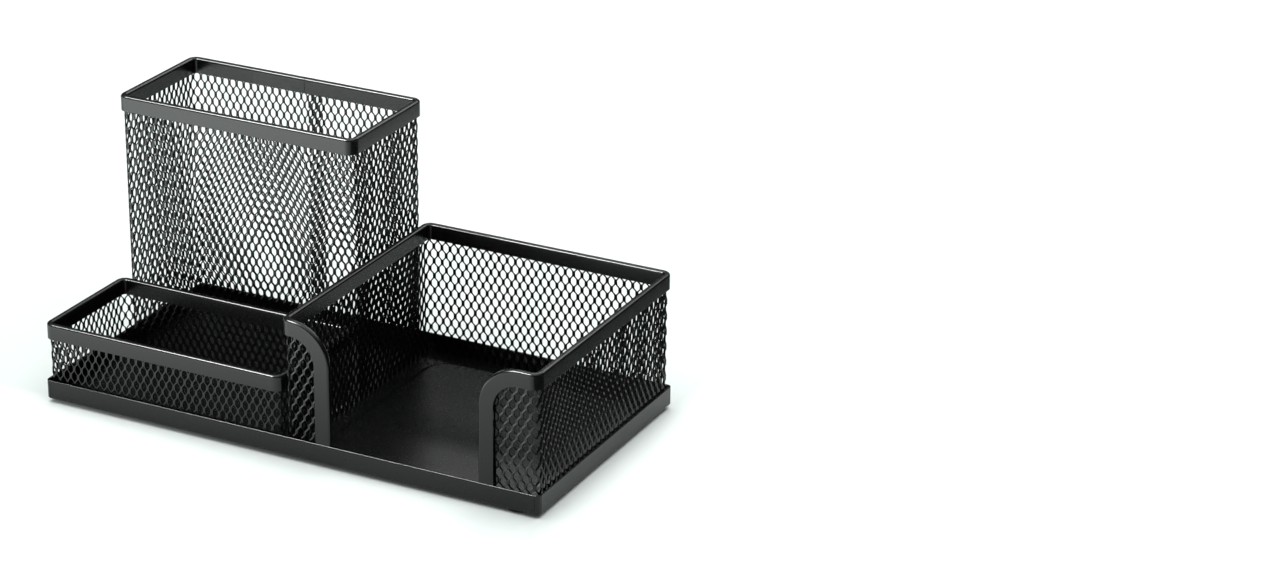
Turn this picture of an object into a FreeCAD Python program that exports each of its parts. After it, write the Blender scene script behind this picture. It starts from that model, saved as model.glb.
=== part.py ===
# Mesh desk organizer: a pen cup, a clip tray and a memo holder on one sheet-steel base.
# Frame: +X to the right, +Y to the back, +Z up; the origin is under the middle of the feet.
import FreeCAD
import Part
import Sketcher
import math
import os

DIMENSIONS = [
    ("BaseWidth", 205, "base, left to right"),
    ("BaseDepth", 104, "base, front to back"),
    ("BaseGauge", 0.7, "sheet of the base and its lip"),
    ("BaseCorner", 1.8, "outer corner radius of the lip"),
    ("BaseBend", 0.7, "bend from the floor of the base into its lip"),
    ("LipHeight", 7.4, "from the underside of the base to the top of its lip"),
    ("LipRound", 0.2, "top edges of the lip"),
    ("FootHeight", 1.5, "rubber foot below the base"),
    ("FootDiameter", 8, "rubber foot"),
    ("FootInset", 10.5, "from the side of the base to a foot's centre"),
    ("FootInsetRight", 5.2, "from the front or the back to the centre of a right foot"),
    ("FootInsetLeft", 8, "from the front or the back to the centre of a left foot"),
    ("FootBevel", 0.4, "bottom edge of a foot"),
    ("RimGauge", 0.6, "strip folded over the top of a mesh wall"),
    ("RimPlay", 0.25, "between the mesh and the strip, each side"),
    ("RimBand", 6.0, "height of the folded strip"),
    ("RimShoulder", 0.9, "rounding of the strip's fold"),
    ("RimCorner", 3.8, "outer corner radius of a rim, seen from above"),
    ("MeshThickness", 0.8, "overall thickness of the expanded metal"),
    ("LipPlay", 0.3, "between the mesh and the lip of the base"),
    ("GridPitch", 12, "about this far from one opening of a mesh wall to the next"),
    ("GridBar", 2.4, "bar between two openings"),
    ("GridEdge", 1.5, "from the lip or a strip to the nearest opening"),
    ("ColumnWidth", 101.2, "outside width of the pen cup and the clip tray"),
    ("ColumnGap", 0.5, "between the left column and the memo holder"),
    ("CupDepth", 50.8, "outside depth of the pen cup"),
    ("CupTop", 102.8, "top of the pen cup above the table"),
    ("RowGap", 2.2, "between the clip tray and the pen cup"),
    ("TrayTop", 31.4, "top of the clip tray above the table"),
    ("MemoTop", 54.3, "top of the memo holder above the table"),
    ("WingLeft", 19.6, "left wing, from the holder's side to its nose"),
    ("WingRight", 23.9, "right wing, from the holder's side to its nose"),
    ("WingCurve", 15.8, "outer radius of the wings' curve"),
    ("PanelInset", 8, "from the holder's outside to the foot of the raised panel"),
    ("PanelRise", 0.8, "height of the raised panel"),
    ("PanelSlope", 2.4, "width of the panel's sloped edge"),
    ("PanelCorner", 10, "corner radius at the foot of the panel"),
    ("PanelRound", 2, "soft edges of the panel"),
]

# Places closer than this are one place when edges are looked up.
SAME = 1e-4

doc = FreeCAD.newDocument("desk_organizer")
sheet = doc.addObject("Spreadsheet::Sheet", "sizes")
for row, (alias, value, meaning) in enumerate(DIMENSIONS, start=1):
    sheet.set(f"A{row}", alias)
    sheet.set(f"B{row}", str(value))
    sheet.set(f"C{row}", meaning)
    sheet.setAlias(f"B{row}", alias)
doc.recompute()

# Places worked out from the driving dimensions, as expressions.
LEFT = "(-sizes.BaseWidth / 2)"
RIGHT = "(sizes.BaseWidth / 2)"
FRONT = "(-sizes.BaseDepth / 2)"
BACK = "(sizes.BaseDepth / 2)"
LIP_TOP = "(sizes.FootHeight + sizes.LipHeight)"
FLOOR = "(sizes.FootHeight + sizes.BaseGauge)"
RIM_WIDTH = "(2 * sizes.RimGauge + 2 * sizes.RimPlay + sizes.MeshThickness)"
SLOT_DEPTH = "(sizes.RimBand - sizes.RimGauge)"
MESH_SETBACK = "(sizes.RimGauge + sizes.RimPlay)"
RIM_SETBACK = f"(sizes.BaseGauge + sizes.LipPlay - {MESH_SETBACK})"

# Outside faces of the rims: x from and to, y from and to.
COLUMN_LEFT = f"({LEFT} + {RIM_SETBACK})"
COLUMN_RIGHT = f"({COLUMN_LEFT} + sizes.ColumnWidth)"
HOLDERS_FRONT = f"({FRONT} + {RIM_SETBACK})"
HOLDERS_BACK = f"({BACK} - {RIM_SETBACK})"
CUP_FRONT = f"({HOLDERS_BACK} - sizes.CupDepth)"
TRAY_BACK = f"({CUP_FRONT} - sizes.RowGap)"
MEMO_LEFT = f"({COLUMN_RIGHT} + sizes.ColumnGap)"
MEMO_RIGHT = f"({RIGHT} - {RIM_SETBACK})"
CUP = (COLUMN_LEFT, COLUMN_RIGHT, CUP_FRONT, HOLDERS_BACK)
TRAY = (COLUMN_LEFT, COLUMN_RIGHT, HOLDERS_FRONT, TRAY_BACK)
MEMO = (MEMO_LEFT, MEMO_RIGHT, HOLDERS_FRONT, HOLDERS_BACK)

# Noses of the wings, at either side of the memo holder's open front.
NOSE_LEFT = f"({MEMO_LEFT} + sizes.WingLeft)"
NOSE_RIGHT = f"({MEMO_RIGHT} - sizes.WingRight)"


def new_body(name):
    body = doc.addObject("PartDesign::Body", name)
    body.Label = name
    return body


def new_sketch(body, name, role, distance):
    """A sketch parallel to one of the body's planes, at a distance along its normal."""
    sketch = body.newObject("Sketcher::SketchObject", name)
    plane = next(item for item in body.Origin.OriginFeatures if item.Role == role)
    sketch.AttachmentSupport = [(plane, "")]
    sketch.MapMode = "FlatFace"
    sketch.setExpression(".AttachmentOffset.Base.z", distance)
    return sketch


def draw_outline(sketch, corners):
    """A closed outline of level and upright lines; each corner is (x, y, radius or None)."""
    points = [FreeCAD.Vector(amount(sketch, x), amount(sketch, y), 0) for x, y, _ in corners]
    radii = [amount(sketch, radius) if radius else 0 for _, _, radius in corners]
    count = len(corners)
    along = [(points[(i + 1) % count] - points[i]).normalize() for i in range(count)]
    lines = []
    for i in range(count):
        start = points[i] + along[i] * radii[i]
        end = points[(i + 1) % count] - along[i] * radii[(i + 1) % count]
        lines.append(sketch.addGeometry(Part.LineSegment(start, end)))
    for i, line in enumerate(lines):
        x, y, _ = corners[i]
        if abs(along[i].x) > abs(along[i].y):
            sketch.addConstraint(Sketcher.Constraint("Horizontal", line))
            bind(sketch, "DistanceY", (-1, 1, line, 1), points[i].y, y)
        else:
            sketch.addConstraint(Sketcher.Constraint("Vertical", line))
            bind(sketch, "DistanceX", (-1, 1, line, 1), points[i].x, x)
    for i, (_, _, radius) in enumerate(corners):
        before, after = lines[i - 1], lines[i]
        if radius:
            arc = sketch.addGeometry(corner_arc(points[i], along[i - 1], along[i], radii[i]))
            first, last = (1, 2) if along[i - 1].cross(along[i]).z > 0 else (2, 1)
            sketch.addConstraint(Sketcher.Constraint("Tangent", before, 2, arc, first))
            sketch.addConstraint(Sketcher.Constraint("Tangent", arc, last, after, 1))
            bind(sketch, "Radius", (arc,), radii[i], radius)
        else:
            sketch.addConstraint(Sketcher.Constraint("Coincident", before, 2, after, 1))


def corner_arc(corner, arriving, leaving, radius):
    centre = corner - arriving * radius + leaving * radius
    start, end = -leaving, arriving
    if arriving.cross(leaving).z < 0:
        start, end = end, start
    circle = Part.Circle(centre, FreeCAD.Vector(0, 0, 1), radius)
    first, last = math.atan2(start.y, start.x), math.atan2(end.y, end.x)
    return Part.ArcOfCircle(circle, first, last if last > first else last + 2 * math.pi)


def bind(sketch, kind, where, value, expression):
    index = sketch.addConstraint(Sketcher.Constraint(kind, *where, value))
    sketch.setExpression(f"Constraints[{index}]", expression)


def amount(thing, expression):
    return float(thing.evalExpression(expression))


def rectangle(x_low, x_high, y_low, y_high, radius=None):
    return [(x_low, y_low, radius), (x_high, y_low, radius),
            (x_high, y_high, radius), (x_low, y_high, radius)]


def inside(place, setback, corner):
    """The plan of a holder, set in from its rim's outside faces."""
    x_low, x_high, y_low, y_high = place
    radius = f"({corner} - {setback})"
    return rectangle(f"({x_low} + {setback})", f"({x_high} - {setback})",
                     f"({y_low} + {setback})", f"({y_high} - {setback})", radius)


def add(body, kind, name, profile, **settings):
    """A feature on a profile; settings given as text are expressions."""
    feature = body.newObject(kind, name)
    feature.Profile = profile
    for setting, value in settings.items():
        if isinstance(value, str) and setting != "Type":
            feature.setExpression(setting, value)
        else:
            setattr(feature, setting, value)
    doc.recompute()
    return feature


def round_edges(body, name, chosen, radius):
    """A fillet on the edges of the body that the test chooses."""
    base = body.Tip
    edges = [f"Edge{i}" for i, edge in enumerate(base.Shape.Edges, start=1) if chosen(edge.BoundBox)]
    fillet = body.newObject("PartDesign::Fillet", name)
    fillet.Base = (base, edges)
    fillet.setExpression("Radius", radius)
    doc.recompute()
    return fillet


def at_edge(expression, body, along):
    """True for an edge that lies in the plane where X, Y or Z has the given place."""
    return between(expression, expression, body, along)


def between(low, high, body, along):
    """True for an edge that lies between two places along X, Y or Z."""
    least, most = amount(body, low) - SAME, amount(body, high) + SAME
    return lambda box: least < getattr(box, along + "Min") and getattr(box, along + "Max") < most


def make_base_tray():
    body = new_body("base_tray")
    block = new_sketch(body, "base_outline", "XY_Plane", "sizes.FootHeight")
    draw_outline(block, rectangle(LEFT, RIGHT, FRONT, BACK, "sizes.BaseCorner"))
    add(body, "PartDesign::Pad", "base_block", block, Length="sizes.LipHeight")
    hollow = new_sketch(body, "floor_outline", "XY_Plane", LIP_TOP)
    draw_outline(hollow, inside((LEFT, RIGHT, FRONT, BACK), "sizes.BaseGauge", "sizes.BaseCorner"))
    add(body, "PartDesign::Pocket", "base_hollow", hollow, Length="sizes.LipHeight - sizes.BaseGauge")
    round_edges(body, "lip_edge", at_edge(LIP_TOP, body, "Z"), "sizes.LipRound")
    round_edges(body, "floor_bend", at_edge("sizes.FootHeight", body, "Z"), "sizes.BaseBend")

    # The raised panel is pressed up from the floor, so it is hollow underneath.
    slope = "atan(sizes.PanelRise / sizes.PanelSlope)"
    taper = "atan(sizes.PanelSlope / sizes.PanelRise)"
    panel = new_sketch(body, "panel_outline", "XY_Plane", FLOOR)
    draw_outline(panel, inside(MEMO, "sizes.PanelInset", "(sizes.PanelInset + sizes.PanelCorner)"))
    add(body, "PartDesign::Pad", "panel_rise", panel, Length="sizes.PanelRise", TaperAngle=f"-{taper}")
    under = new_sketch(body, "panel_underside", "XY_Plane", "sizes.FootHeight")
    shift = f"(sizes.PanelInset + sizes.BaseGauge * tan({slope} / 2))"
    draw_outline(under, inside(MEMO, shift, "(sizes.PanelInset + sizes.PanelCorner)"))
    add(body, "PartDesign::Pocket", "panel_hollow", under, Length="sizes.PanelRise",
        TaperAngle=f"-{taper}", Reversed=True)
    on_crest = at_edge(f"{FLOOR} + sizes.PanelRise", body, "Z")
    round_edges(body, "panel_top_edge", on_crest, "sizes.PanelRound")
    on_floor = at_edge(FLOOR, body, "Z")
    on_panel = between(f"{MEMO_LEFT} + sizes.PanelInset", f"{MEMO_RIGHT} - sizes.PanelInset", body, "X")
    round_edges(body, "panel_foot_edge", lambda box: on_floor(box) and on_panel(box), "sizes.PanelRound")
    return body


def make_foot(name, side, end):
    """A round rubber foot under one corner; side and end are the signs of its x and y."""
    body = new_body(name)
    sketch = new_sketch(body, name + "_outline", "XY_Plane", "0")
    x = f"({side}) * ({RIGHT} - sizes.FootInset)"
    y = f"({end}) * ({BACK} - sizes.{'FootInsetRight' if side > 0 else 'FootInsetLeft'})"
    centre = FreeCAD.Vector(amount(sketch, x), amount(sketch, y), 0)
    radius = amount(sketch, "sizes.FootDiameter / 2")
    circle = sketch.addGeometry(Part.Circle(centre, FreeCAD.Vector(0, 0, 1), radius))
    bind(sketch, "DistanceX", (-1, 1, circle, 3), centre.x, x)
    bind(sketch, "DistanceY", (-1, 1, circle, 3), centre.y, y)
    bind(sketch, "Diameter", (circle,), 2 * radius, "sizes.FootDiameter")
    add(body, "PartDesign::Pad", name + "_pad", sketch, Length="sizes.FootHeight")
    round_edges(body, name + "_edge", at_edge("0", body, "Z"), "sizes.FootBevel")
    return body


def pierce(body, name, role, distance, depth, across, up):
    """A grid of openings that fills a stretch of wall; expanded metal is open, though more finely."""
    low, high = across
    bottom, top = up
    columns = f"round(({high} - {low} + sizes.GridBar) / sizes.GridPitch)"
    rows = f"round(({top} - {bottom} + sizes.GridBar) / sizes.GridPitch)"
    step_across = f"(({high} - {low} + sizes.GridBar) / {columns})"
    step_up = f"(({top} - {bottom} + sizes.GridBar) / {rows})"
    opening = new_sketch(body, name + "_opening", role, distance)
    draw_outline(opening, rectangle(low, f"({low} + {step_across} - sizes.GridBar)",
                                    bottom, f"({bottom} + {step_up} - sizes.GridBar)"))
    first = add(body, "PartDesign::Pocket", name + "_first", opening, Length=depth)
    grid = body.newObject("PartDesign::LinearPattern", name + "_grid")
    grid.Originals = [first]
    grid.Direction, grid.Direction2 = (opening, ["H_Axis"]), (opening, ["V_Axis"])
    grid.Mode = grid.Mode2 = "Spacing"
    grid.setExpression("Offset", step_across)
    grid.setExpression("Offset2", step_up)
    grid.setExpression("Occurrences", columns)
    grid.setExpression("Occurrences2", rows)
    doc.recompute()
    # Every step is the offset; a new pattern starts its second direction with a step of nought.
    grid.Spacings2 = [-1.0] * (grid.Occurrences2 - 1)
    body.Tip = grid
    doc.recompute()


def clear_of_corners(low, high):
    return f"({low} + sizes.RimCorner)", f"({high} - sizes.RimCorner)"


def clear_height(top):
    """The free height of a wall between the lip of the base and its strip."""
    return f"({LIP_TOP} + sizes.GridEdge)", f"({top} - sizes.RimBand - sizes.GridEdge)"


def make_wall_ring(body, name, place, top):
    """The closed sleeve of expanded metal around a holder, from the floor up into its rim."""
    ring = new_sketch(body, name, "XY_Plane", FLOOR)
    draw_outline(ring, inside(place, MESH_SETBACK, "sizes.RimCorner"))
    draw_outline(ring, inside(place, f"({MESH_SETBACK} + sizes.MeshThickness)", "sizes.RimCorner"))
    add(body, "PartDesign::Pad", name + "_wall", ring, Length=f"{top} - sizes.RimGauge - {FLOOR}")


def make_sleeve(name, place, top):
    body = new_body(name)
    make_wall_ring(body, name + "_plan", place, top)
    x_low, x_high, y_low, y_high = place
    pierce(body, name + "_front", "XZ_Plane", f"-{y_low}", f"{y_high} - {y_low}",
           clear_of_corners(x_low, x_high), clear_height(top))
    pierce(body, name + "_side", "YZ_Plane", x_high, f"{x_high} - {x_low}",
           clear_of_corners(y_low, y_high), clear_height(top))
    return body


def make_closed_rim(name, place, top):
    """A strip folded over the top of a sleeve, with the slot that the sleeve stands in."""
    body = new_body(name)
    underside = f"({top} - sizes.RimBand)"
    ring = new_sketch(body, name + "_plan", "XY_Plane", underside)
    draw_outline(ring, inside(place, "0", "sizes.RimCorner"))
    draw_outline(ring, inside(place, RIM_WIDTH, "sizes.RimCorner"))
    add(body, "PartDesign::Pad", name + "_band", ring, Length="sizes.RimBand")
    round_edges(body, name + "_fold", at_edge(top, body, "Z"), "sizes.RimShoulder")
    slot = new_sketch(body, name + "_slot_plan", "XY_Plane", underside)
    draw_outline(slot, inside(place, "sizes.RimGauge", "sizes.RimCorner"))
    draw_outline(slot, inside(place, f"({RIM_WIDTH} - sizes.RimGauge)", "sizes.RimCorner"))
    add(body, "PartDesign::Pocket", name + "_slot", slot, Length=SLOT_DEPTH, Reversed=True)
    return body


def cut_front(body, name, setback, bottom):
    """Open the front of the memo holder between its wings, setback back from their noses."""
    gate = new_sketch(body, name + "_outline", "XZ_Plane", f"-{HOLDERS_FRONT}")
    left, right = f"({NOSE_LEFT} - {setback})", f"({NOSE_RIGHT} + {setback})"
    top, above = f"(sizes.MemoTop - {setback})", "(sizes.MemoTop + sizes.RimBand)"
    curve = f"(sizes.WingCurve - {setback})"
    outer_left = f"({left} - {curve} - sizes.RimPlay)"
    outer_right = f"({right} + {curve} + sizes.RimPlay)"
    draw_outline(gate, [(left, bottom, None), (left, top, curve), (outer_left, top, None),
                        (outer_left, above, None), (outer_right, above, None), (outer_right, top, None),
                        (right, top, curve), (right, bottom, None)])
    add(body, "PartDesign::Pocket", name, gate, Length=RIM_WIDTH)


def make_memo_mesh():
    body = new_body("memo_holder_mesh")
    make_wall_ring(body, "memo_plan", MEMO, "sizes.MemoTop")
    cut_front(body, "memo_mesh_gate", "sizes.RimGauge", "sizes.FootHeight")
    pierce(body, "memo_side", "YZ_Plane", MEMO_RIGHT, f"{MEMO_RIGHT} - {MEMO_LEFT}",
           clear_of_corners(HOLDERS_FRONT, HOLDERS_BACK), clear_height("sizes.MemoTop"))
    pierce(body, "memo_back", "XZ_Plane", f"{RIM_WIDTH} - {HOLDERS_BACK}", RIM_WIDTH,
           clear_of_corners(MEMO_LEFT, MEMO_RIGHT), clear_height("sizes.MemoTop"))
    beside_leg = "(sizes.RimBand + sizes.GridEdge)"
    under_curve = clear_height("(sizes.MemoTop + sizes.RimBand - sizes.WingCurve)")
    pierce(body, "memo_left_wing", "XZ_Plane", f"-{HOLDERS_FRONT}", RIM_WIDTH,
           (f"({MEMO_LEFT} + sizes.RimCorner)", f"({NOSE_LEFT} - {beside_leg})"), under_curve)
    pierce(body, "memo_right_wing", "XZ_Plane", f"-{HOLDERS_FRONT}", RIM_WIDTH,
           (f"({NOSE_RIGHT} + {beside_leg})", f"({MEMO_RIGHT} - sizes.RimCorner)"), under_curve)
    return body


def make_memo_rim():
    """One strip along the top of the memo holder, down the wings' noses and onto the lip."""
    body = new_body("memo_holder_rim")
    ring = new_sketch(body, "memo_rim_plan", "XY_Plane", LIP_TOP)
    draw_outline(ring, inside(MEMO, "0", "sizes.RimCorner"))
    draw_outline(ring, inside(MEMO, RIM_WIDTH, "sizes.RimCorner"))
    add(body, "PartDesign::Pad", "memo_rim_band", ring, Length=f"sizes.MemoTop - {LIP_TOP}")
    cut_front(body, "memo_rim_gate", "0", "sizes.FootHeight")

    on_front = at_edge(HOLDERS_FRONT, body, "Y")
    on_front_inside = at_edge(f"({HOLDERS_FRONT} + {RIM_WIDTH})", body, "Y")
    on_left_nose = between(f"{NOSE_LEFT} - sizes.WingCurve", NOSE_LEFT, body, "X")
    on_right_nose = between(NOSE_RIGHT, f"{NOSE_RIGHT} + sizes.WingCurve", body, "X")
    on_top = at_edge("sizes.MemoTop", body, "Z")
    on_foot = at_edge(LIP_TOP, body, "Z")

    def on_fold(box):
        on_face = on_front(box) or on_front_inside(box)
        on_nose = on_left_nose(box) or on_right_nose(box)
        return on_top(box) or (on_face and on_nose and not on_foot(box))

    round_edges(body, "memo_rim_fold", on_fold, "sizes.RimShoulder")

    # Below the strip the mesh stands free: in front beside the wings' legs, then all around.
    under = "(sizes.MemoTop - sizes.RimBand)"
    inner_curve = "(sizes.WingCurve - sizes.RimBand)"
    past_left, past_right = f"({MEMO_LEFT} - sizes.RimBand)", f"({MEMO_RIGHT} + sizes.RimBand)"
    beside = new_sketch(body, "memo_rim_beside_legs", "XZ_Plane", f"-{HOLDERS_FRONT}")
    draw_outline(beside, [(past_left, LIP_TOP, None), (f"({NOSE_LEFT} - sizes.RimBand)", LIP_TOP, None),
                          (f"({NOSE_LEFT} - sizes.RimBand)", under, inner_curve), (past_left, under, None)])
    draw_outline(beside, [(f"({NOSE_RIGHT} + sizes.RimBand)", LIP_TOP, None), (past_right, LIP_TOP, None),
                          (past_right, under, None), (f"({NOSE_RIGHT} + sizes.RimBand)", under, inner_curve)])
    add(body, "PartDesign::Pocket", "memo_rim_front_clear", beside, Length=RIM_WIDTH)
    around = new_sketch(body, "memo_rim_around", "XY_Plane", under)
    draw_outline(around, rectangle(past_left, past_right, f"({HOLDERS_FRONT} + {RIM_WIDTH})",
                                   f"({HOLDERS_BACK} + sizes.RimBand)"))
    add(body, "PartDesign::Pocket", "memo_rim_around_clear", around, Length=f"{under} - {LIP_TOP}")

    # The slot for the mesh follows the strip: around the sides and the back, then down each leg.
    face, back = "sizes.RimGauge", f"({RIM_WIDTH} - sizes.RimGauge)"
    slot = new_sketch(body, "memo_rim_slot_plan", "XY_Plane", under)
    outer, inner = inside(MEMO, face, "sizes.RimCorner"), inside(MEMO, back, "sizes.RimCorner")
    turn = "(sizes.RimCorner + sizes.RimPlay)"
    turn_left, turn_right = f"({MEMO_LEFT} + {turn})", f"({MEMO_RIGHT} - {turn})"
    front_out, front_in = outer[0][1], inner[0][1]
    draw_outline(slot, [(turn_right, front_out, None), outer[1], outer[2], outer[3], outer[0],
                        (turn_left, front_out, None), (turn_left, front_in, None),
                        inner[0], inner[3], inner[2], inner[1], (turn_right, front_in, None)])
    add(body, "PartDesign::Pocket", "memo_rim_slot", slot, Length=SLOT_DEPTH, Reversed=True)
    legs = new_sketch(body, "memo_rim_leg_slots", "XZ_Plane", f"-({HOLDERS_FRONT} + sizes.RimGauge)")
    fold, slot_curve = "(sizes.MemoTop - sizes.RimGauge)", "(sizes.WingCurve - sizes.RimGauge)"
    draw_outline(legs, [(turn_left, LIP_TOP, None), (f"({NOSE_LEFT} - sizes.RimGauge)", LIP_TOP, None),
                        (f"({NOSE_LEFT} - sizes.RimGauge)", fold, slot_curve), (turn_left, fold, None)])
    draw_outline(legs, [(f"({NOSE_RIGHT} + sizes.RimGauge)", LIP_TOP, None), (turn_right, LIP_TOP, None),
                        (turn_right, fold, None), (f"({NOSE_RIGHT} + sizes.RimGauge)", fold, slot_curve)])
    add(body, "PartDesign::Pocket", "memo_rim_leg_slot", legs, Length=f"{RIM_WIDTH} - 2 * sizes.RimGauge")
    return body


pieces = [
    make_base_tray(),
    make_sleeve("pen_cup_mesh", CUP, "sizes.CupTop"),
    make_closed_rim("pen_cup_rim", CUP, "sizes.CupTop"),
    make_sleeve("clip_tray_mesh", TRAY, "sizes.TrayTop"),
    make_closed_rim("clip_tray_rim", TRAY, "sizes.TrayTop"),
    make_memo_mesh(),
    make_memo_rim(),
]
for end_name, end in (("front", -1), ("back", 1)):
    for side_name, side in (("left", -1), ("right", 1)):
        pieces.append(make_foot(f"foot_{end_name}_{side_name}", side, end))

doc.recompute()
for item in doc.Objects:
    if "Invalid" in item.State or "Error" in item.State:
        raise RuntimeError(f"{item.Label} failed: {item.State}")
for piece in pieces:
    if piece.Shape.isNull() or not piece.Shape.isValid():
        raise RuntimeError(f"{piece.Label} has no valid shape")

os.makedirs("parts", exist_ok=True)
for piece in pieces:
    piece.Shape.exportStep(f"parts/{piece.Label}.step")
    box = piece.Shape.BoundBox
    print(f"{piece.Label}: {piece.Shape.Volume:.0f} mm3, x {box.XMin:.2f} to {box.XMax:.2f}, "
          f"y {box.YMin:.2f} to {box.YMax:.2f}, z {box.ZMin:.2f} to {box.ZMax:.2f}")
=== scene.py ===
from math import ceil, cos, pi, radians, sin

import bmesh
import bpy
from mathutils import Matrix, Vector


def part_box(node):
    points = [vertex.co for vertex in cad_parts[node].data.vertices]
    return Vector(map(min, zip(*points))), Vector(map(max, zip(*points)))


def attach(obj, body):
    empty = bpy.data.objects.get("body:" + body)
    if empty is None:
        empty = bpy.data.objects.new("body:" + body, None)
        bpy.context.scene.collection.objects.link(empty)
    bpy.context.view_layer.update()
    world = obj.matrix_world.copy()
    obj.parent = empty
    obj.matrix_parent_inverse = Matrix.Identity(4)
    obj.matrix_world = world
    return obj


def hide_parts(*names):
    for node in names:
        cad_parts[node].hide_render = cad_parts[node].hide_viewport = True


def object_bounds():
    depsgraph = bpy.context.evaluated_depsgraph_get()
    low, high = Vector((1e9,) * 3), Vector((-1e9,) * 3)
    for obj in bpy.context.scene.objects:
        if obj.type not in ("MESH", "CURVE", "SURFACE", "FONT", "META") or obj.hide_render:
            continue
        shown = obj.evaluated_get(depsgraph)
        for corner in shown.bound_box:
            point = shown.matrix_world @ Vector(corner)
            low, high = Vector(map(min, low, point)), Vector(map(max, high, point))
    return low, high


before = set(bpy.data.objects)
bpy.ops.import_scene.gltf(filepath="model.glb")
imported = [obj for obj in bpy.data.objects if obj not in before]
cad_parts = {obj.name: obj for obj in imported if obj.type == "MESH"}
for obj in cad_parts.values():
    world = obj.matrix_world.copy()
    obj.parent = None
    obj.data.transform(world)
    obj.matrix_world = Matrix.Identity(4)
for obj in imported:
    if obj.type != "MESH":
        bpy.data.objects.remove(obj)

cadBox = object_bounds()
mm = 0.001
close = 0.02 * mm        # places nearer than this are the same place
smoothBelow = 35         # folds gentler than this look round, in degrees

axisX = Vector((1, 0, 0))
axisY = Vector((0, 1, 0))
axisZ = Vector((0, 0, 1))


def deselectAll():
    if bpy.context.object and bpy.context.object.mode != "OBJECT":
        bpy.ops.object.mode_set(mode="OBJECT")
    bpy.ops.object.select_all(action="DESELECT")


def choose(obj):
    deselectAll()
    obj.select_set(True)
    bpy.context.view_layer.objects.active = obj


def settle(obj, name):
    # name the object and put its place into its mesh
    obj.name = name
    obj.data.name = name
    choose(obj)
    bpy.ops.object.transform_apply(location=True, rotation=True, scale=True)
    return obj


def startPoint(name, place):
    # one loose point, selected in edit mode, ready to be extruded
    deselectAll()
    bpy.ops.mesh.primitive_plane_add(size=mm, location=place)
    settle(bpy.context.object, name)
    bpy.ops.object.mode_set(mode="EDIT")
    bpy.ops.mesh.select_mode(type="VERT")
    bpy.ops.mesh.select_all(action="SELECT")
    bpy.ops.mesh.merge(type="CENTER")
    return bpy.context.object


def extrudeBy(step):
    bpy.ops.mesh.extrude_region_move(TRANSFORM_OT_translate={"value": tuple(step)})


def spinRound(centre, axis, steps):
    # a quarter turn; spin counts its angle the other way about
    bpy.ops.mesh.spin(steps=steps, angle=-pi / 2, center=tuple(centre), axis=tuple(axis))


def pickPoints(obj, test):
    bpy.ops.mesh.select_mode(type="VERT")
    bpy.ops.mesh.select_all(action="DESELECT")
    shape = bmesh.from_edit_mesh(obj.data)
    for point in shape.verts:
        point.select = test(point.co)
    shape.select_flush(True)
    bmesh.update_edit_mesh(obj.data)


def pickFaces(obj, test):
    bpy.ops.mesh.select_mode(type="FACE")
    bpy.ops.mesh.select_all(action="DESELECT")
    shape = bmesh.from_edit_mesh(obj.data)
    for face in shape.faces:
        face.select = test(face.calc_center_median(), face.normal)
    bmesh.update_edit_mesh(obj.data)


def pickBorder(obj, height):
    # the open edges that lie at one height
    bpy.ops.mesh.select_mode(type="EDGE")
    bpy.ops.mesh.select_all(action="DESELECT")
    shape = bmesh.from_edit_mesh(obj.data)
    for edge in shape.edges:
        level = all(abs(point.co.z - height) < close for point in edge.verts)
        edge.select = edge.is_boundary and level
    bmesh.update_edit_mesh(obj.data)


def modify(obj, kind, **settings):
    choose(obj)
    modifier = obj.modifiers.new(kind.lower(), kind)
    for setting, value in settings.items():
        setattr(modifier, setting, value)
    bpy.ops.object.modifier_apply(modifier=modifier.name)


def smooth(obj):
    choose(obj)
    bpy.ops.object.shade_smooth_by_angle(angle=radians(smoothBelow))
    modify(obj, "WEIGHTED_NORMAL", keep_sharp=True)


def mend(obj):
    # merge doubles and turn the faces outwards
    choose(obj)
    bpy.ops.object.mode_set(mode="EDIT")
    bpy.ops.mesh.select_all(action="SELECT")
    bpy.ops.mesh.remove_doubles(threshold=close)
    bpy.ops.mesh.normals_make_consistent(inside=False)
    bpy.ops.object.mode_set(mode="OBJECT")


def joinTo(obj, others):
    choose(obj)
    for other in others:
        other.select_set(True)
    bpy.ops.object.join()


def newMaterial(name):
    material = bpy.data.materials.new(name)
    material.use_nodes = True
    nodes = material.node_tree.nodes
    shader = nodes["Principled BSDF"]
    place = nodes.new("ShaderNodeTexCoord")
    return material, nodes, material.node_tree.links, shader, place.outputs["Object"]


noiseLow, noiseHigh = 0.3, 0.7        # a noise seldom leaves this range


def addNoise(nodes, links, place, scale, detail=3):
    noise = nodes.new("ShaderNodeTexNoise")
    noise.inputs["Scale"].default_value = scale
    noise.inputs["Detail"].default_value = detail
    links.new(place, noise.inputs["Vector"])
    return noise.outputs["Fac"]


def spread(nodes, links, source, start, end, low, high):
    node = nodes.new("ShaderNodeMapRange")
    for name, value in (("From Min", start), ("From Max", end), ("To Min", low), ("To Max", high)):
        node.inputs[name].default_value = value
    links.new(source, node.inputs["Value"])
    return node.outputs["Result"]


def combine(nodes, links, operation, first, second):
    node = nodes.new("ShaderNodeMath")
    node.operation = operation
    links.new(first, node.inputs[0])
    if isinstance(second, (int, float)):
        node.inputs[1].default_value = second
    else:
        links.new(second, node.inputs[1])
    return node.outputs["Value"]


def addTint(nodes, links, source, dark, light):
    ramp = nodes.new("ShaderNodeValToRGB")
    ends = ramp.color_ramp.elements
    ends[0].position = noiseLow
    ends[0].color = (*dark, 1)
    ends[1].position = noiseHigh
    ends[1].color = (*light, 1)
    links.new(source, ramp.inputs["Fac"])
    return ramp.outputs["Color"]


def addBump(nodes, links, heights, shader, depth, strength):
    bump = nodes.new("ShaderNodeBump")
    bump.inputs["Distance"].default_value = depth
    bump.inputs["Strength"].default_value = strength
    links.new(heights, bump.inputs["Height"])
    links.new(bump.outputs["Normal"], shader.inputs["Normal"])


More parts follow.
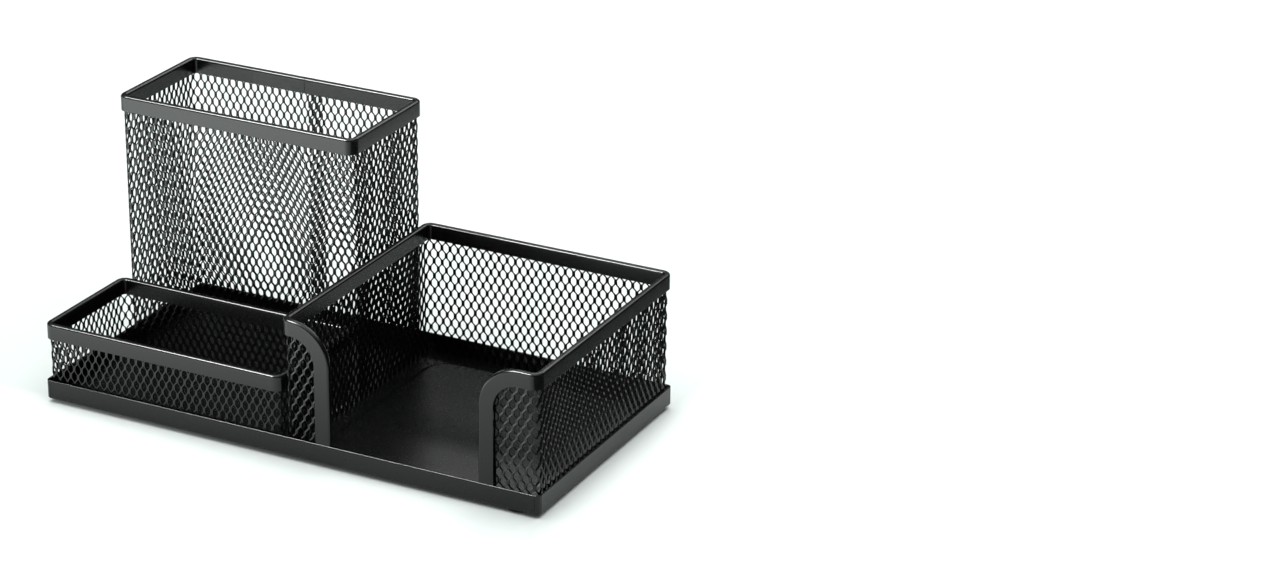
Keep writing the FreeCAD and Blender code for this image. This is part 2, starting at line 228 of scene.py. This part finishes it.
powderCoat = {
    "dark": (0.0012, 0.0014, 0.0013),
    "light": (0.0022, 0.0025, 0.0023),
    "cloud": 60,                 # slow changes of tone, per metre
    "grain": 1400,               # orange peel of the baked powder
    "grainDetail": 2,
    "grainDepth": 0.010 * mm,
    "grainStrength": 0.12,
    "shine": 0.32,
    "baseGloss": (0.22, 0.28),   # roughness, from and to
    "rimGloss": (0.20, 0.26),
    "meshGloss": (0.20, 0.27),
}


def makePowderCoat(name, gloss):
    coat = powderCoat
    material, nodes, links, shader, place = newMaterial(name)
    cloud = addNoise(nodes, links, place, coat["cloud"])
    grain = addNoise(nodes, links, place, coat["grain"], coat["grainDetail"])
    links.new(addTint(nodes, links, cloud, coat["dark"], coat["light"]), shader.inputs["Base Color"])
    roughness = spread(nodes, links, grain, noiseLow, noiseHigh, *coat[gloss])
    links.new(roughness, shader.inputs["Roughness"])
    shader.inputs["Specular IOR Level"].default_value = coat["shine"]
    addBump(nodes, links, grain, shader, coat["grainDepth"], coat["grainStrength"])
    return material


footRubber = {
    "dark": (0.012, 0.012, 0.013),
    "light": (0.022, 0.022, 0.023),
    "roughness": 0.82,
    "grain": 2600,
    "grainDepth": 0.02 * mm,
    "grainStrength": 0.4,
}


def makeRubber(name):
    rubber = footRubber
    material, nodes, links, shader, place = newMaterial(name)
    grain = addNoise(nodes, links, place, rubber["grain"])
    links.new(addTint(nodes, links, grain, rubber["dark"], rubber["light"]), shader.inputs["Base Color"])
    shader.inputs["Roughness"].default_value = rubber["roughness"]
    addBump(nodes, links, grain, shader, rubber["grainDepth"], rubber["grainStrength"])
    return material


baseCoat = makePowderCoat("base_powder_coat", "baseGloss")
rimCoat = makePowderCoat("rim_powder_coat", "rimGloss")
meshCoat = makePowderCoat("mesh_powder_coat", "meshGloss")
rubberCoat = makeRubber("foot_rubber")
print("finishes made")


def dress(obj, material, node):
    # coat the finished piece and let it stand for its node
    obj.data.materials.clear()
    obj.data.materials.append(material)
    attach(obj, "root")
    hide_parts(node)
    print(obj.name, len(obj.data.polygons), "faces")


def goRound(low, high, radius, start, end, steps, fromFront=False):
    # counterclockwise round four corners, from one place on the back or the front to another there
    left, right = low.x + radius, high.x - radius
    front, back = low.y + radius, high.y - radius
    places = ((left, back), (left, front), (right, front), (right, back))
    corners = [Vector((*place, 0)) for place in places]
    if fromFront:
        corners = corners[2:] + corners[:2]
    reached = Vector((start, corners[0].y, 0))
    for corner in corners:
        extrudeBy(corner - reached)
        spinRound(corner, axisZ, steps)
        reached = corner
    extrudeBy(axisX * (end - reached.x))


rim = {
    "width": 2.5 * mm,
    "gauge": 0.6 * mm,
    "shoulder": 0.9 * mm,
    "corner": 3.8 * mm,
    "band": 6.0 * mm,
    "cutEdge": 0.1 * mm,
    "cutEdgeSteps": 2,
    "cutAngle": 50,          # only edges sharper than this are softened, in degrees
    "shoulderSteps": 5,
    "cornerSteps": 9,
}


def drawFold(name, corner, across, down):
    # the section of a strip folded over the edge of the mesh, from its outer to its inner leaf
    width, shoulder, band = rim["width"], rim["shoulder"], rim["band"]
    axis = across.cross(down)
    obj = startPoint(name, corner + down * band)
    extrudeBy(down * (shoulder - band))
    spinRound(corner + (down + across) * shoulder, axis, rim["shoulderSteps"])
    extrudeBy(across * (width - 2 * shoulder))
    spinRound(corner + down * shoulder + across * (width - shoulder), axis, rim["shoulderSteps"])
    extrudeBy(down * (band - shoulder))
    bpy.ops.mesh.select_all(action="SELECT")
    return obj


def finishStrip(obj):
    mend(obj)
    modify(obj, "SOLIDIFY", thickness=rim["gauge"], offset=-1, use_even_offset=True)
    modify(obj, "BEVEL", width=rim["cutEdge"], segments=rim["cutEdgeSteps"], limit_method="ANGLE",
           angle_limit=radians(rim["cutAngle"]))
    smooth(obj)


def makeClosedRim(node, jointPlace, jointGap):
    low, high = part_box(node)
    start = jointPlace - jointGap / 2
    obj = drawFold("dressed_" + node, Vector((start, high.y, high.z)), -axisY, -axisZ)
    goRound(low, high, rim["corner"], start, jointPlace + jointGap / 2, rim["cornerSteps"])
    finishStrip(obj)
    dress(obj, rimCoat, node)


cupJoint = {"place": 0.5 * mm, "gap": 0.16 * mm}    # the place is from the middle of the back


def makeCupRim():
    low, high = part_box("pen_cup_rim")
    makeClosedRim("pen_cup_rim", (low.x + high.x) / 2 + cupJoint["place"], cupJoint["gap"])


def makeTrayRim():
    low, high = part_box("clip_tray_rim")
    makeClosedRim("clip_tray_rim", (low.x + high.x) / 2, 0)


memoRim = {
    "wingLeft": 19.6 * mm,
    "wingRight": 23.9 * mm,
    "curve": 15.8 * mm,      # outer radius where the leg turns into the top
    "curveSteps": 14,
    "cuts": 8,               # straight cuts that shape the mesh to the curve
}


def makeMemoRim():
    low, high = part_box("memo_holder_rim")
    curve = memoRim["curve"]
    noseLeft = low.x + memoRim["wingLeft"]
    noseRight = high.x - memoRim["wingRight"]
    turn = high.z - curve
    obj = drawFold("dressed_memo_holder_rim", Vector((noseRight, low.y, low.z)), axisY, axisX)
    extrudeBy(axisZ * (turn - low.z))
    spinRound((noseRight + curve, 0, turn), axisY, memoRim["curveSteps"])
    goRound(low, high, rim["corner"], noseRight + curve, noseLeft - curve, rim["cornerSteps"],
            fromFront=True)
    spinRound((noseLeft - curve, 0, turn), axisY, memoRim["curveSteps"])
    extrudeBy(axisZ * (low.z - turn))
    finishStrip(obj)
    dress(obj, rimCoat, "memo_holder_rim")


makeCupRim()
makeTrayRim()
makeMemoRim()
print("rims folded")


diamond = {
    "tall": 6.0 * mm,        # from one row to the next but one
    "gauge": 0.42 * mm,
    "knuckle": 1.15 * mm,
    "bend": [(0.08, 0.22), (0.84, 0.56), (0.08, 0.22)],    # share of the way across and up
    "spare": 1.5,            # diamonds beyond each edge before the sheet is cut
    "crisp": 50,             # edges sharper than this stay sharp, in degrees
}


def makeKnuckle(cut):
    # a knuckle with the two strands that rise from it, their ends open
    across, strand, tilt = cut["across"], cut["strand"], radians(cut["twist"])
    along = Vector((cos(tilt), -sin(tilt), 0))
    half = diamond["knuckle"] / 2
    deselectAll()
    bpy.ops.mesh.primitive_cube_add(size=1, rotation=(0, 0, -tilt))
    obj = bpy.context.object
    obj.scale = (2 * strand, diamond["gauge"], diamond["knuckle"])
    settle(obj, "expanded_unit")
    bpy.ops.object.mode_set(mode="EDIT")
    bpy.ops.mesh.select_all(action="SELECT")
    bpy.ops.mesh.bisect(plane_co=(0, 0, 0), plane_no=along)
    for side in (1, -1):
        pickFaces(obj, lambda place, normal: abs(place.z - half) < close and place.x * side > 0)
        way = axisX * (side * across / 2) - along * (side * strand)
        climb = axisZ * (diamond["tall"] / 2 - diamond["knuckle"])
        for acrossShare, upShare in diamond["bend"]:
            extrudeBy(way * acrossShare + climb * upShare)
        bpy.ops.mesh.delete(type="ONLY_FACE")
    pickFaces(obj, lambda place, normal: abs(place.z + half) < close)
    bpy.ops.mesh.delete(type="ONLY_FACE")
    bpy.ops.mesh.select_all(action="SELECT")
    bpy.ops.mesh.duplicate_move(TRANSFORM_OT_translate={"value": (across / 2, 0, diamond["tall"] / 2)})
    bpy.ops.object.mode_set(mode="OBJECT")
    return obj


def repeat(obj, count, step):
    modify(obj, "ARRAY", count=count, use_relative_offset=False, use_constant_offset=True,
           constant_offset_displace=step)


def cutAway(place, normal):
    bpy.ops.mesh.bisect(plane_co=place, plane_no=normal, use_fill=True, clear_outer=True)


def makeSheet(name, cut, length, height):
    # a flat sheet, standing from the ground up; cut says how it lies in the expanded metal
    across, tall, spare = cut["across"], diamond["tall"], diamond["spare"]
    rise = length * abs(sin(radians(cut["lean"])))
    sheet = makeKnuckle(cut)
    columns = ceil(length / across + 2 * spare)
    rows = ceil((height + rise) / tall + 2 * spare)
    top = height - cut["drop"] + ceil(rise / tall) * tall
    repeat(sheet, columns, axisX * across)
    repeat(sheet, rows, axisZ * tall)
    sheet.location = (-spare * across, 0, top - (rows - spare) * tall)
    settle(sheet, name)
    sheet.rotation_euler.y = radians(cut["lean"])
    settle(sheet, name)
    bpy.ops.object.mode_set(mode="EDIT")
    bpy.ops.mesh.select_all(action="SELECT")
    bpy.ops.mesh.remove_doubles(threshold=close)
    edges = [
        (axisZ * 0, -axisZ),
        (axisZ * height, axisZ),
        (axisX * 0, -axisX),
        (axisX * length, axisX),
    ]
    for place, normal in edges:
        bpy.ops.mesh.select_all(action="SELECT")
        cutAway(place, normal)
    bpy.ops.object.mode_set(mode="OBJECT")
    return sheet


def pathLength(path):
    places = [point.co for point in path.data.vertices]
    return sum((places[edge.vertices[0]] - places[edge.vertices[1]]).length for edge in path.data.edges)


def wrapSheet(sheet, path, foot):
    # bend the flat sheet along the path and stand it on the floor
    choose(path)
    bpy.ops.object.convert(target="CURVE")
    modify(sheet, "CURVE", object=path, deform_axis="POS_X")
    bpy.data.objects.remove(path)
    sheet.location.z = foot
    settle(sheet, sheet.name)
    mend(sheet)
    choose(sheet)
    bpy.ops.object.shade_smooth_by_angle(angle=radians(diamond["crisp"]))


sheetMetal = {
    "thickness": 0.8 * mm,
    "cornerSteps": 8,
    "lap": 6.6 * mm,         # of the sheet's two ends, one behind the other
    "lapRise": 0.78 * mm,    # how far the outer end steps out
    "lapRun": 4.0 * mm,
}


def middleBox(node):
    # the box of the middle of a sheet, from the box of its outer faces
    low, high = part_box(node)
    inset = Vector((1, 1, 0)) * sheetMetal["thickness"] / 2
    return low + inset, high - inset


def wallRadius():
    return rim["corner"] - (rim["width"] - sheetMetal["thickness"]) / 2 - sheetMetal["thickness"] / 2


def makeLappedPath(low, high, seam):
    # starts behind the end of the sheet, steps out by its thickness and goes all the way round
    run, rise = sheetMetal["lapRun"], sheetMetal["lapRise"]
    path = startPoint("path", (seam + sheetMetal["lap"], high.y - rise, 0))
    extrudeBy(axisX * -sheetMetal["lap"])
    extrudeBy(axisX * -run + axisY * rise)
    goRound(low, high, wallRadius(), seam - run, seam, sheetMetal["cornerSteps"])
    bpy.ops.object.mode_set(mode="OBJECT")
    return path


def makeSleeve(node, cut):
    low, high = middleBox(node)
    path = makeLappedPath(low, high, cut["seam"])
    sheet = makeSheet("expanded_" + node, cut, pathLength(path), high.z - low.z)
    wrapSheet(sheet, path, low.z)
    dress(sheet, meshCoat, node)


def makeMemoMesh(cut):
    # an open wall: right wing, right side, back, left side and left wing
    low, high = middleBox("memo_holder_mesh")
    rimLow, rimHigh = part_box("memo_holder_rim")
    noseLeft = rimLow.x + memoRim["wingLeft"] - rim["gauge"]
    noseRight = rimHigh.x - memoRim["wingRight"] + rim["gauge"]
    path = startPoint("path", (noseRight, low.y, 0))
    goRound(low, high, wallRadius(), noseRight, noseLeft, sheetMetal["cornerSteps"], fromFront=True)
    bpy.ops.object.mode_set(mode="OBJECT")
    length, height = pathLength(path), high.z - low.z
    sheet = makeSheet("expanded_memo_holder_mesh", cut, length, height)
    # the wings are cut to the curve of their folded edge
    curve = memoRim["curve"] - rim["gauge"]
    turn = height - curve
    choose(sheet)
    bpy.ops.object.mode_set(mode="EDIT")
    for centre, outward in ((curve, -1), (length - curve, 1)):
        for step in range(1, memoRim["cuts"]):
            angle = radians(90 * step / memoRim["cuts"])
            normal = axisX * (outward * cos(angle)) + axisZ * sin(angle)
            pickPoints(sheet, lambda place: (place.x - centre) * outward > -cut["across"])
            cutAway(axisX * centre + axisZ * turn + normal * curve, normal)
    bpy.ops.object.mode_set(mode="OBJECT")
    wrapSheet(sheet, path, low.z)
    dress(sheet, meshCoat, "memo_holder_mesh")


# across is from knuckle to knuckle, twist turns the strands out of the sheet, drop is from the top edge
# to the first knuckles, and the sheet's outer end is at the seam; twist and lean are in degrees
cupSheet = {
    "across": 3.2 * mm,
    "strand": 0.52 * mm,
    "twist": 15,
    "drop": 7.2 * mm,
    "lean": 0,
    "seam": -50.4 * mm,
}
traySheet = {
    "across": 3.2 * mm,
    "strand": 0.53 * mm,
    "twist": 5,
    "drop": 7.0 * mm,
    "lean": 1.1,
    "seam": -30.0 * mm,
}
memoSheet = {
    "across": 3.47 * mm,
    "strand": 0.63 * mm,
    "twist": 19,
    "drop": 6.6 * mm,
    "lean": 0.5,
}

makeSleeve("pen_cup_mesh", cupSheet)
makeSleeve("clip_tray_mesh", traySheet)
makeMemoMesh(memoSheet)
print("mesh walls expanded and bent")


base = {
    "gauge": 0.7 * mm,
    "edge": 0.25 * mm,       # painted edge along the top of the lip
    "bend": 0.7 * mm,
    "corner": 1.8 * mm,
    "cornerSteps": 6,
    "seamWide": 0.12 * mm,
    "seamDeep": 0.12 * mm,
    "edgeSteps": 4,
}

panel = {
    "inset": 8 * mm,         # from the memo holder's outer faces
    "corner": 10 * mm,
    "cornerSteps": 10,
    "slope": 2.4 * mm,
    "slopeSteps": 6,
    "rise": 0.8 * mm,
}


def pinch(way, inward):
    # a fine upright groove where the side meets the folded corner
    extrudeBy(way * base["seamWide"] + inward * base["seamDeep"])
    extrudeBy(way * base["seamWide"] - inward * base["seamDeep"])


def makeLip(low, high, floorTop):
    # the upright lip, from the floor up its inner side, over its edge and down to the underside
    edge, bend = base["edge"], base["bend"]
    inner = high.y - base["gauge"]
    obj = startPoint("dressed_base_tray", (0, inner, floorTop))
    extrudeBy(axisZ * (high.z - edge - floorTop))
    spinRound((0, inner + edge, high.z - edge), -axisX, base["edgeSteps"])
    extrudeBy(axisY * (base["gauge"] - 2 * edge))
    spinRound((0, high.y - edge, high.z - edge), -axisX, base["edgeSteps"])
    extrudeBy(-axisZ * (high.z - edge - low.z - bend))
    spinRound((0, high.y - bend, low.z + bend), -axisX, base["edgeSteps"])
    bpy.ops.mesh.select_all(action="SELECT")
    radius, seam = base["corner"], 2 * base["seamWide"]
    left, right = low.x + radius, high.x - radius
    front, back = low.y + radius, high.y - radius
    legs = [
        (-axisX, -left, -axisY, (left, back)),
        (-axisY, back - front, axisX, (left, front)),
        (axisX, right - left, axisY, (right, front)),
        (axisY, back - front, -axisX, (right, back)),
    ]
    for count, (way, length, inward, centre) in enumerate(legs):
        extrudeBy(way * (length - seam * (1 if count == 0 else 2)))
        pinch(way, inward)
        spinRound((*centre, 0), axisZ, base["cornerSteps"])
        pinch(legs[(count + 1) % 4][0], legs[(count + 1) % 4][2])
    extrudeBy(-axisX * (right - seam))
    bpy.ops.object.mode_set(mode="OBJECT")
    return obj


def makePanel(floorTop):
    # the raised field of the memo floor
    low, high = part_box("memo_holder_rim")
    inset = panel["inset"]
    middle = (low + high) / 2
    deselectAll()
    bpy.ops.mesh.primitive_plane_add(size=1, location=(middle.x, middle.y, floorTop))
    obj = bpy.context.object
    obj.scale = (high.x - low.x - 2 * inset, high.y - low.y - 2 * inset, 1)
    settle(obj, "panel")
    bpy.ops.object.mode_set(mode="EDIT")
    bpy.ops.mesh.select_all(action="SELECT")
    bpy.ops.mesh.bevel(affect="VERTICES", offset=panel["corner"], segments=panel["cornerSteps"])
    bpy.ops.mesh.select_mode(type="FACE")
    bpy.ops.mesh.select_all(action="SELECT")
    steps = panel["slopeSteps"]
    height = 0
    for step in range(1, steps + 1):
        reached = panel["rise"] * (1 - cos(pi * step / steps)) / 2
        bpy.ops.mesh.inset(thickness=panel["slope"] / steps, depth=reached - height)
        height = reached
    bpy.ops.object.mode_set(mode="OBJECT")
    return obj


def makeBase():
    low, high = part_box("base_tray")
    floorTop = low.z + base["gauge"]
    obj = makeLip(low, high, floorTop)
    mend(obj)
    top = makePanel(floorTop)
    under = top.copy()
    under.data = top.data.copy()
    bpy.context.collection.objects.link(under)
    under.location.z = -base["gauge"]
    settle(under, "panel_under")
    joinTo(obj, [top, under])
    bpy.ops.object.mode_set(mode="EDIT")
    for height in (floorTop, low.z):
        pickBorder(obj, height)
        bpy.ops.mesh.bridge_edge_loops()
    bpy.ops.object.mode_set(mode="OBJECT")
    mend(obj)
    smooth(obj)
    dress(obj, baseCoat, "base_tray")


makeBase()
print("base folded")


foot = {
    "sides": 48,
    "edge": 0.4 * mm,
    "edgeSteps": 4,
    "ring": 1.6 * mm,        # the flat ring round the dished middle
    "dish": 0.35 * mm,
}


def facesDown(normal):
    return normal.z < -0.99


def makeFoot(node):
    low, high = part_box(node)
    middle = (low + high) / 2
    deselectAll()
    bpy.ops.mesh.primitive_cylinder_add(vertices=foot["sides"], radius=(high.x - low.x) / 2,
                                        depth=high.z - low.z, location=middle)
    obj = settle(bpy.context.object, "dressed_" + node)
    bpy.ops.object.mode_set(mode="EDIT")
    pickFaces(obj, lambda place, normal: facesDown(normal))
    bpy.ops.mesh.bevel(offset=foot["edge"], segments=foot["edgeSteps"])
    pickFaces(obj, lambda place, normal: facesDown(normal))
    bpy.ops.mesh.inset(thickness=foot["ring"])
    bpy.ops.mesh.inset(thickness=foot["dish"], depth=-foot["dish"])
    bpy.ops.object.mode_set(mode="OBJECT")
    smooth(obj)
    dress(obj, rubberCoat, node)


for node in ("foot_front_left", "foot_front_right", "foot_back_left", "foot_back_right"):
    makeFoot(node)
print("feet moulded")


studio = {
    "size": 12.0,
    "tone": (0.93, 0.945, 0.94),
    "roughness": 0.9,
    "glow": 20.0,            # painted light: the floor glows brighter in front and to the right, by this much per metre
    "glowFront": 2.7,        # the most that it glows there
    "glowRight": 0.38,
    "glowInset": 6 * mm,     # the front glow starts this far under the base
    "glowLeft": 1.7,         # the front glow's share at its left end; it fades out to the right
    "glowFade": 330 * mm,
    "fadeBeside": 30 * mm,   # where that fade ends, to the right of the base
}


def makeFloor():
    low, high = cadBox
    deselectAll()
    bpy.ops.mesh.primitive_plane_add(size=studio["size"])
    floor = settle(bpy.context.object, "studio_floor")
    material, nodes, links, shader, place = newMaterial("studio_floor")
    shader.inputs["Base Color"].default_value = (*studio["tone"], 1)
    shader.inputs["Roughness"].default_value = studio["roughness"]
    shader.inputs["Specular IOR Level"].default_value = 0
    split = nodes.new("ShaderNodeSeparateXYZ")
    links.new(place, split.inputs["Vector"])
    # painted light: the floor is no lamp but glows, strongest far in front, where the front faces mirror
    # it, and a little to the right, to pale the shadow beside the base
    start, most = low.y + studio["glowInset"], studio["glowFront"]
    front = spread(nodes, links, split.outputs["Y"], start, start - most / studio["glow"], 0, most)
    end = high.x + studio["fadeBeside"]
    fade = spread(nodes, links, split.outputs["X"], end - studio["glowFade"], end, studio["glowLeft"], 0)
    front = combine(nodes, links, "MULTIPLY", front, fade)
    most = studio["glowRight"]
    right = spread(nodes, links, split.outputs["X"], high.x, high.x + most / studio["glow"], 0, most)
    shader.inputs["Emission Color"].default_value = (*sky["tone"], 1)
    links.new(combine(nodes, links, "MAXIMUM", front, right), shader.inputs["Emission Strength"])
    floor.data.materials.append(material)


flag = {"beside": 30 * mm, "front": -150 * mm, "back": 450 * mm, "high": 75 * mm, "tone": 0.05}


def makeFlag():
    # a grey card to the right that shows only in the gloss of the coat
    high = cadBox[1]
    middle = (high.x + flag["beside"], (flag["front"] + flag["back"]) / 2, flag["high"] / 2)
    deselectAll()
    bpy.ops.mesh.primitive_plane_add(size=1, location=middle, rotation=(0, -pi / 2, 0))
    card = bpy.context.object
    card.scale = (flag["high"], flag["back"] - flag["front"], 1)
    settle(card, "studio_flag")
    material, nodes, links, shader, place = newMaterial("studio_flag")
    shader.inputs["Base Color"].default_value = (flag["tone"], flag["tone"], flag["tone"], 1)
    shader.inputs["Roughness"].default_value = studio["roughness"]
    card.data.materials.append(material)
    card.visible_camera = False
    card.visible_diffuse = False
    card.visible_shadow = False


sky = {
    "tone": (0.94, 1.0, 0.985),
    "zenith": 2.45,
    "horizon": 0.05,
    "fall": 5,               # how fast it darkens from the zenith
    "full": 0.9,             # the zenith's tone is reached at this height, 1 being straight up
    "left": 1.2,
    "right": 0.8,
}


def makeSky():
    # a large soft light overhead that fades towards the horizon and towards the right
    world = bpy.data.worlds.new("studio")
    bpy.context.scene.world = world
    world.use_nodes = True
    nodes, links = world.node_tree.nodes, world.node_tree.links
    around = nodes.new("ShaderNodeTexCoord")
    split = nodes.new("ShaderNodeSeparateXYZ")
    links.new(around.outputs["Generated"], split.inputs["Vector"])
    height = spread(nodes, links, split.outputs["Z"], 0, sky["full"], 0, 1)
    climb = combine(nodes, links, "POWER", height, sky["fall"])
    level = spread(nodes, links, climb, 0, 1, sky["horizon"], sky["zenith"])
    side = spread(nodes, links, split.outputs["X"], -1, 1, sky["left"], sky["right"])
    back = nodes["Background"]
    back.inputs["Color"].default_value = (*sky["tone"], 1)
    links.new(combine(nodes, links, "MULTIPLY", level, side), back.inputs["Strength"])


def makeSoftbox(name, box):
    # around goes from straight behind towards the left, and high goes up, both in degrees
    around, high = radians(box["around"]), radians(box["high"])
    way = Vector((-sin(around) * cos(high), cos(around) * cos(high), sin(high)))
    deselectAll()
    bpy.ops.object.light_add(type="AREA", location=way * box["away"])
    lamp = bpy.context.object
    lamp.name = name
    lamp.rotation_euler = way.to_track_quat("Z", "Y").to_euler()
    lamp.data.shape = "RECTANGLE"
    lamp.data.size = box["wide"]
    lamp.data.size_y = box["tall"]
    lamp.data.energy = box["power"]
    lamp.visible_camera = False
    lamp.visible_diffuse = box["floor"]


backBox = {"around": 0, "high": 39, "away": 1.3, "wide": 1.3, "tall": 0.18, "power": 3.2, "floor": True}
frontBox = {"around": 136, "high": 54, "away": 0.9, "wide": 0.4, "tall": 0.2, "power": 26, "floor": False}

view = {
    "aim": Vector((89.250, 50.892, 46.817)) * mm,
    "around": 26.196,
    "high": 23.073,
    "roll": 0.805,
    "away": 1266.50 * mm,
    "lens": 97.763,
    "sensor": 36,
    "nearest": 0.05,
}


def makeCamera():
    # around goes from straight in front towards the right; the roll tips the top of the picture
    around, high, roll = (radians(view[key]) for key in ("around", "high", "roll"))
    back = Vector((sin(around) * cos(high), -cos(around) * cos(high), sin(high)))
    across = axisZ.cross(back).normalized()
    up = back.cross(across)
    right = across * cos(roll) + up * sin(roll)
    top = up * cos(roll) - across * sin(roll)
    deselectAll()
    bpy.ops.object.camera_add()
    camera = bpy.context.object
    turned = Matrix((right, top, back)).transposed().to_4x4()
    camera.matrix_world = Matrix.Translation(view["aim"] + back * view["away"]) @ turned
    camera.data.sensor_width = view["sensor"]
    camera.data.lens = view["lens"]
    camera.data.clip_start = view["nearest"]
    bpy.context.scene.camera = camera


makeFloor()
makeFlag()
makeSky()
makeSoftbox("back_softbox", backBox)
makeSoftbox("front_softbox", frontBox)
makeCamera()
bpy.context.scene.view_settings.view_transform = "Standard"
print("studio set")

deselectAll()
